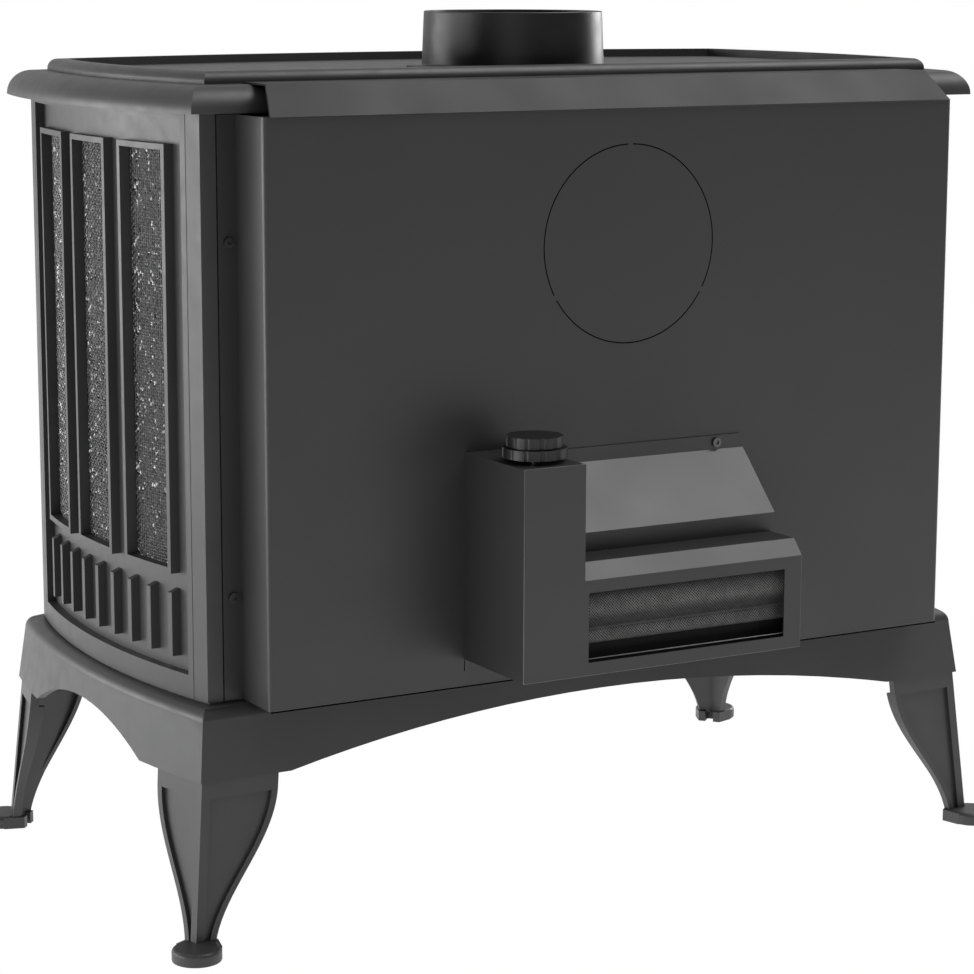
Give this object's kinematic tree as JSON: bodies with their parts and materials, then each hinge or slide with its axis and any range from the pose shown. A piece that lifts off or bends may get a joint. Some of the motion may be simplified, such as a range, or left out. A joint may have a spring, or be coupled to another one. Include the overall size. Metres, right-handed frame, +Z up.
{
  "type": "wood stove",
  "caption": "Free-standing cast iron wood stove on legs, with bowed sides, screened side windows, a glazed door, an ash drawer, a rear heat shield and an air intake housing with a timer knob.",
  "frame": {"origin": "on the floor, below the middle of the stove's overall width and depth", "axes": "+X to the right as seen by a person facing the door, +Y to the rear, +Z up"},
  "size_m": [0.8858, 0.6631, 0.7911],
  "materials": {
    "black_iron": "satin",
    "bare_iron": "matte",
    "collar_iron": "satin",
    "shield_paint": "satin",
    "sheet_steel": "matte",
    "woven_mesh": "satin",
    "punched_mesh": "matte",
    "plain_steel": "satin",
    "dark_screws": "satin",
    "firebrick": "matte",
    "rope": "matte",
    "fire_glass": "gloss",
    "black_grip": "satin"
  },
  "bodies": {
    "stove": {"base_skirt": "black_iron", "leg_front_left": "black_iron", "leg_front_right": "black_iron", "leg_rear_left": "black_iron", "leg_rear_right": "black_iron", "leg_bolts": "plain_steel", "tie_rods": "plain_steel", "side_panel_left": "black_iron", "side_panel_right": "black_iron", "side_screens_left": "woven_mesh", "side_screens_right": "woven_mesh", "front_frame": "black_iron", "ash_lip": "black_iron", "top_plate": "black_iron", "flue_collar": "collar_iron", "flue_outlet": "sheet_steel", "back_plate": "sheet_steel", "rear_heat_shield": "shield_paint", "shield_visor": "shield_paint", "shield_screws": "dark_screws", "air_housing": "shield_paint", "intake_screen": "punched_mesh", "intake_duct": "sheet_steel", "air_hood": "shield_paint", "hood_screws": "dark_screws", "timer_plate": "sheet_steel", "firebox_shell": "sheet_steel", "floor_bricks": "firebrick", "back_bricks": "firebrick", "side_bricks": "firebrick", "ash_grate": "bare_iron", "air_manifolds": "sheet_steel", "air_tubes": "plain_steel", "baffle_board": "firebrick", "log_rest": "bare_iron", "drawer_rails": "sheet_steel", "primary_air_box": "sheet_steel", "hinge_pins": "plain_steel"},
    "door": {"door_casting": "black_iron", "door_gasket": "rope", "door_glass": "fire_glass", "glass_gasket": "rope", "glass_clips": "plain_steel", "clip_screws": "plain_steel"},
    "handle": {"handle_shaft": "plain_steel", "handle_grip": "black_grip", "latch_cam": "plain_steel"},
    "ash_drawer": {"ash_pan": "sheet_steel", "drawer_front": "black_iron", "drawer_knob": "black_grip"},
    "air_control": {"air_lever": "plain_steel", "air_shutter": "plain_steel", "lever_knob": "black_grip"},
    "timer": {"timer_knob": "black_grip", "timer_spindle": "plain_steel"},
    "shutter": {"startup_shutter": "plain_steel"}
  },
  "joints": [
    {"name": "door_swing", "type": "hinge", "parent": "stove", "child": "door", "pos_m": [-0.334, -0.24114, 0.48], "axis": [0, 0, -1], "range_deg": [0, 110]},
    {"name": "handle_turn", "type": "hinge", "parent": "door", "child": "handle", "pos_m": [0.283, -0.28121, 0.47], "axis": [0, 1, 0], "range_deg": [0, 90]},
    {"name": "drawer_slide", "type": "slide", "parent": "stove", "child": "ash_drawer", "axis": [0, -1, 0], "range_m": [0, 0.2]},
    {"name": "air_lever_slide", "type": "slide", "parent": "stove", "child": "air_control", "axis": [1, 0, 0], "range_m": [-0.025, 0.025]},
    {"name": "timer_turn", "type": "hinge", "parent": "stove", "child": "timer", "pos_m": [0.135, 0.2959, 0.42], "axis": [0, 0, 1], "range_deg": [0, 180]},
    {"name": "shutter_turn", "type": "hinge", "parent": "stove", "child": "shutter", "pos_m": [0.135, 0.2689, 0.31], "axis": [0, 0, 1], "range_deg": [-90, 0]}
  ],
  "couplings": [
    {"joint": "shutter_turn", "follows": "timer_turn", "ratio": -0.5}
  ]
}
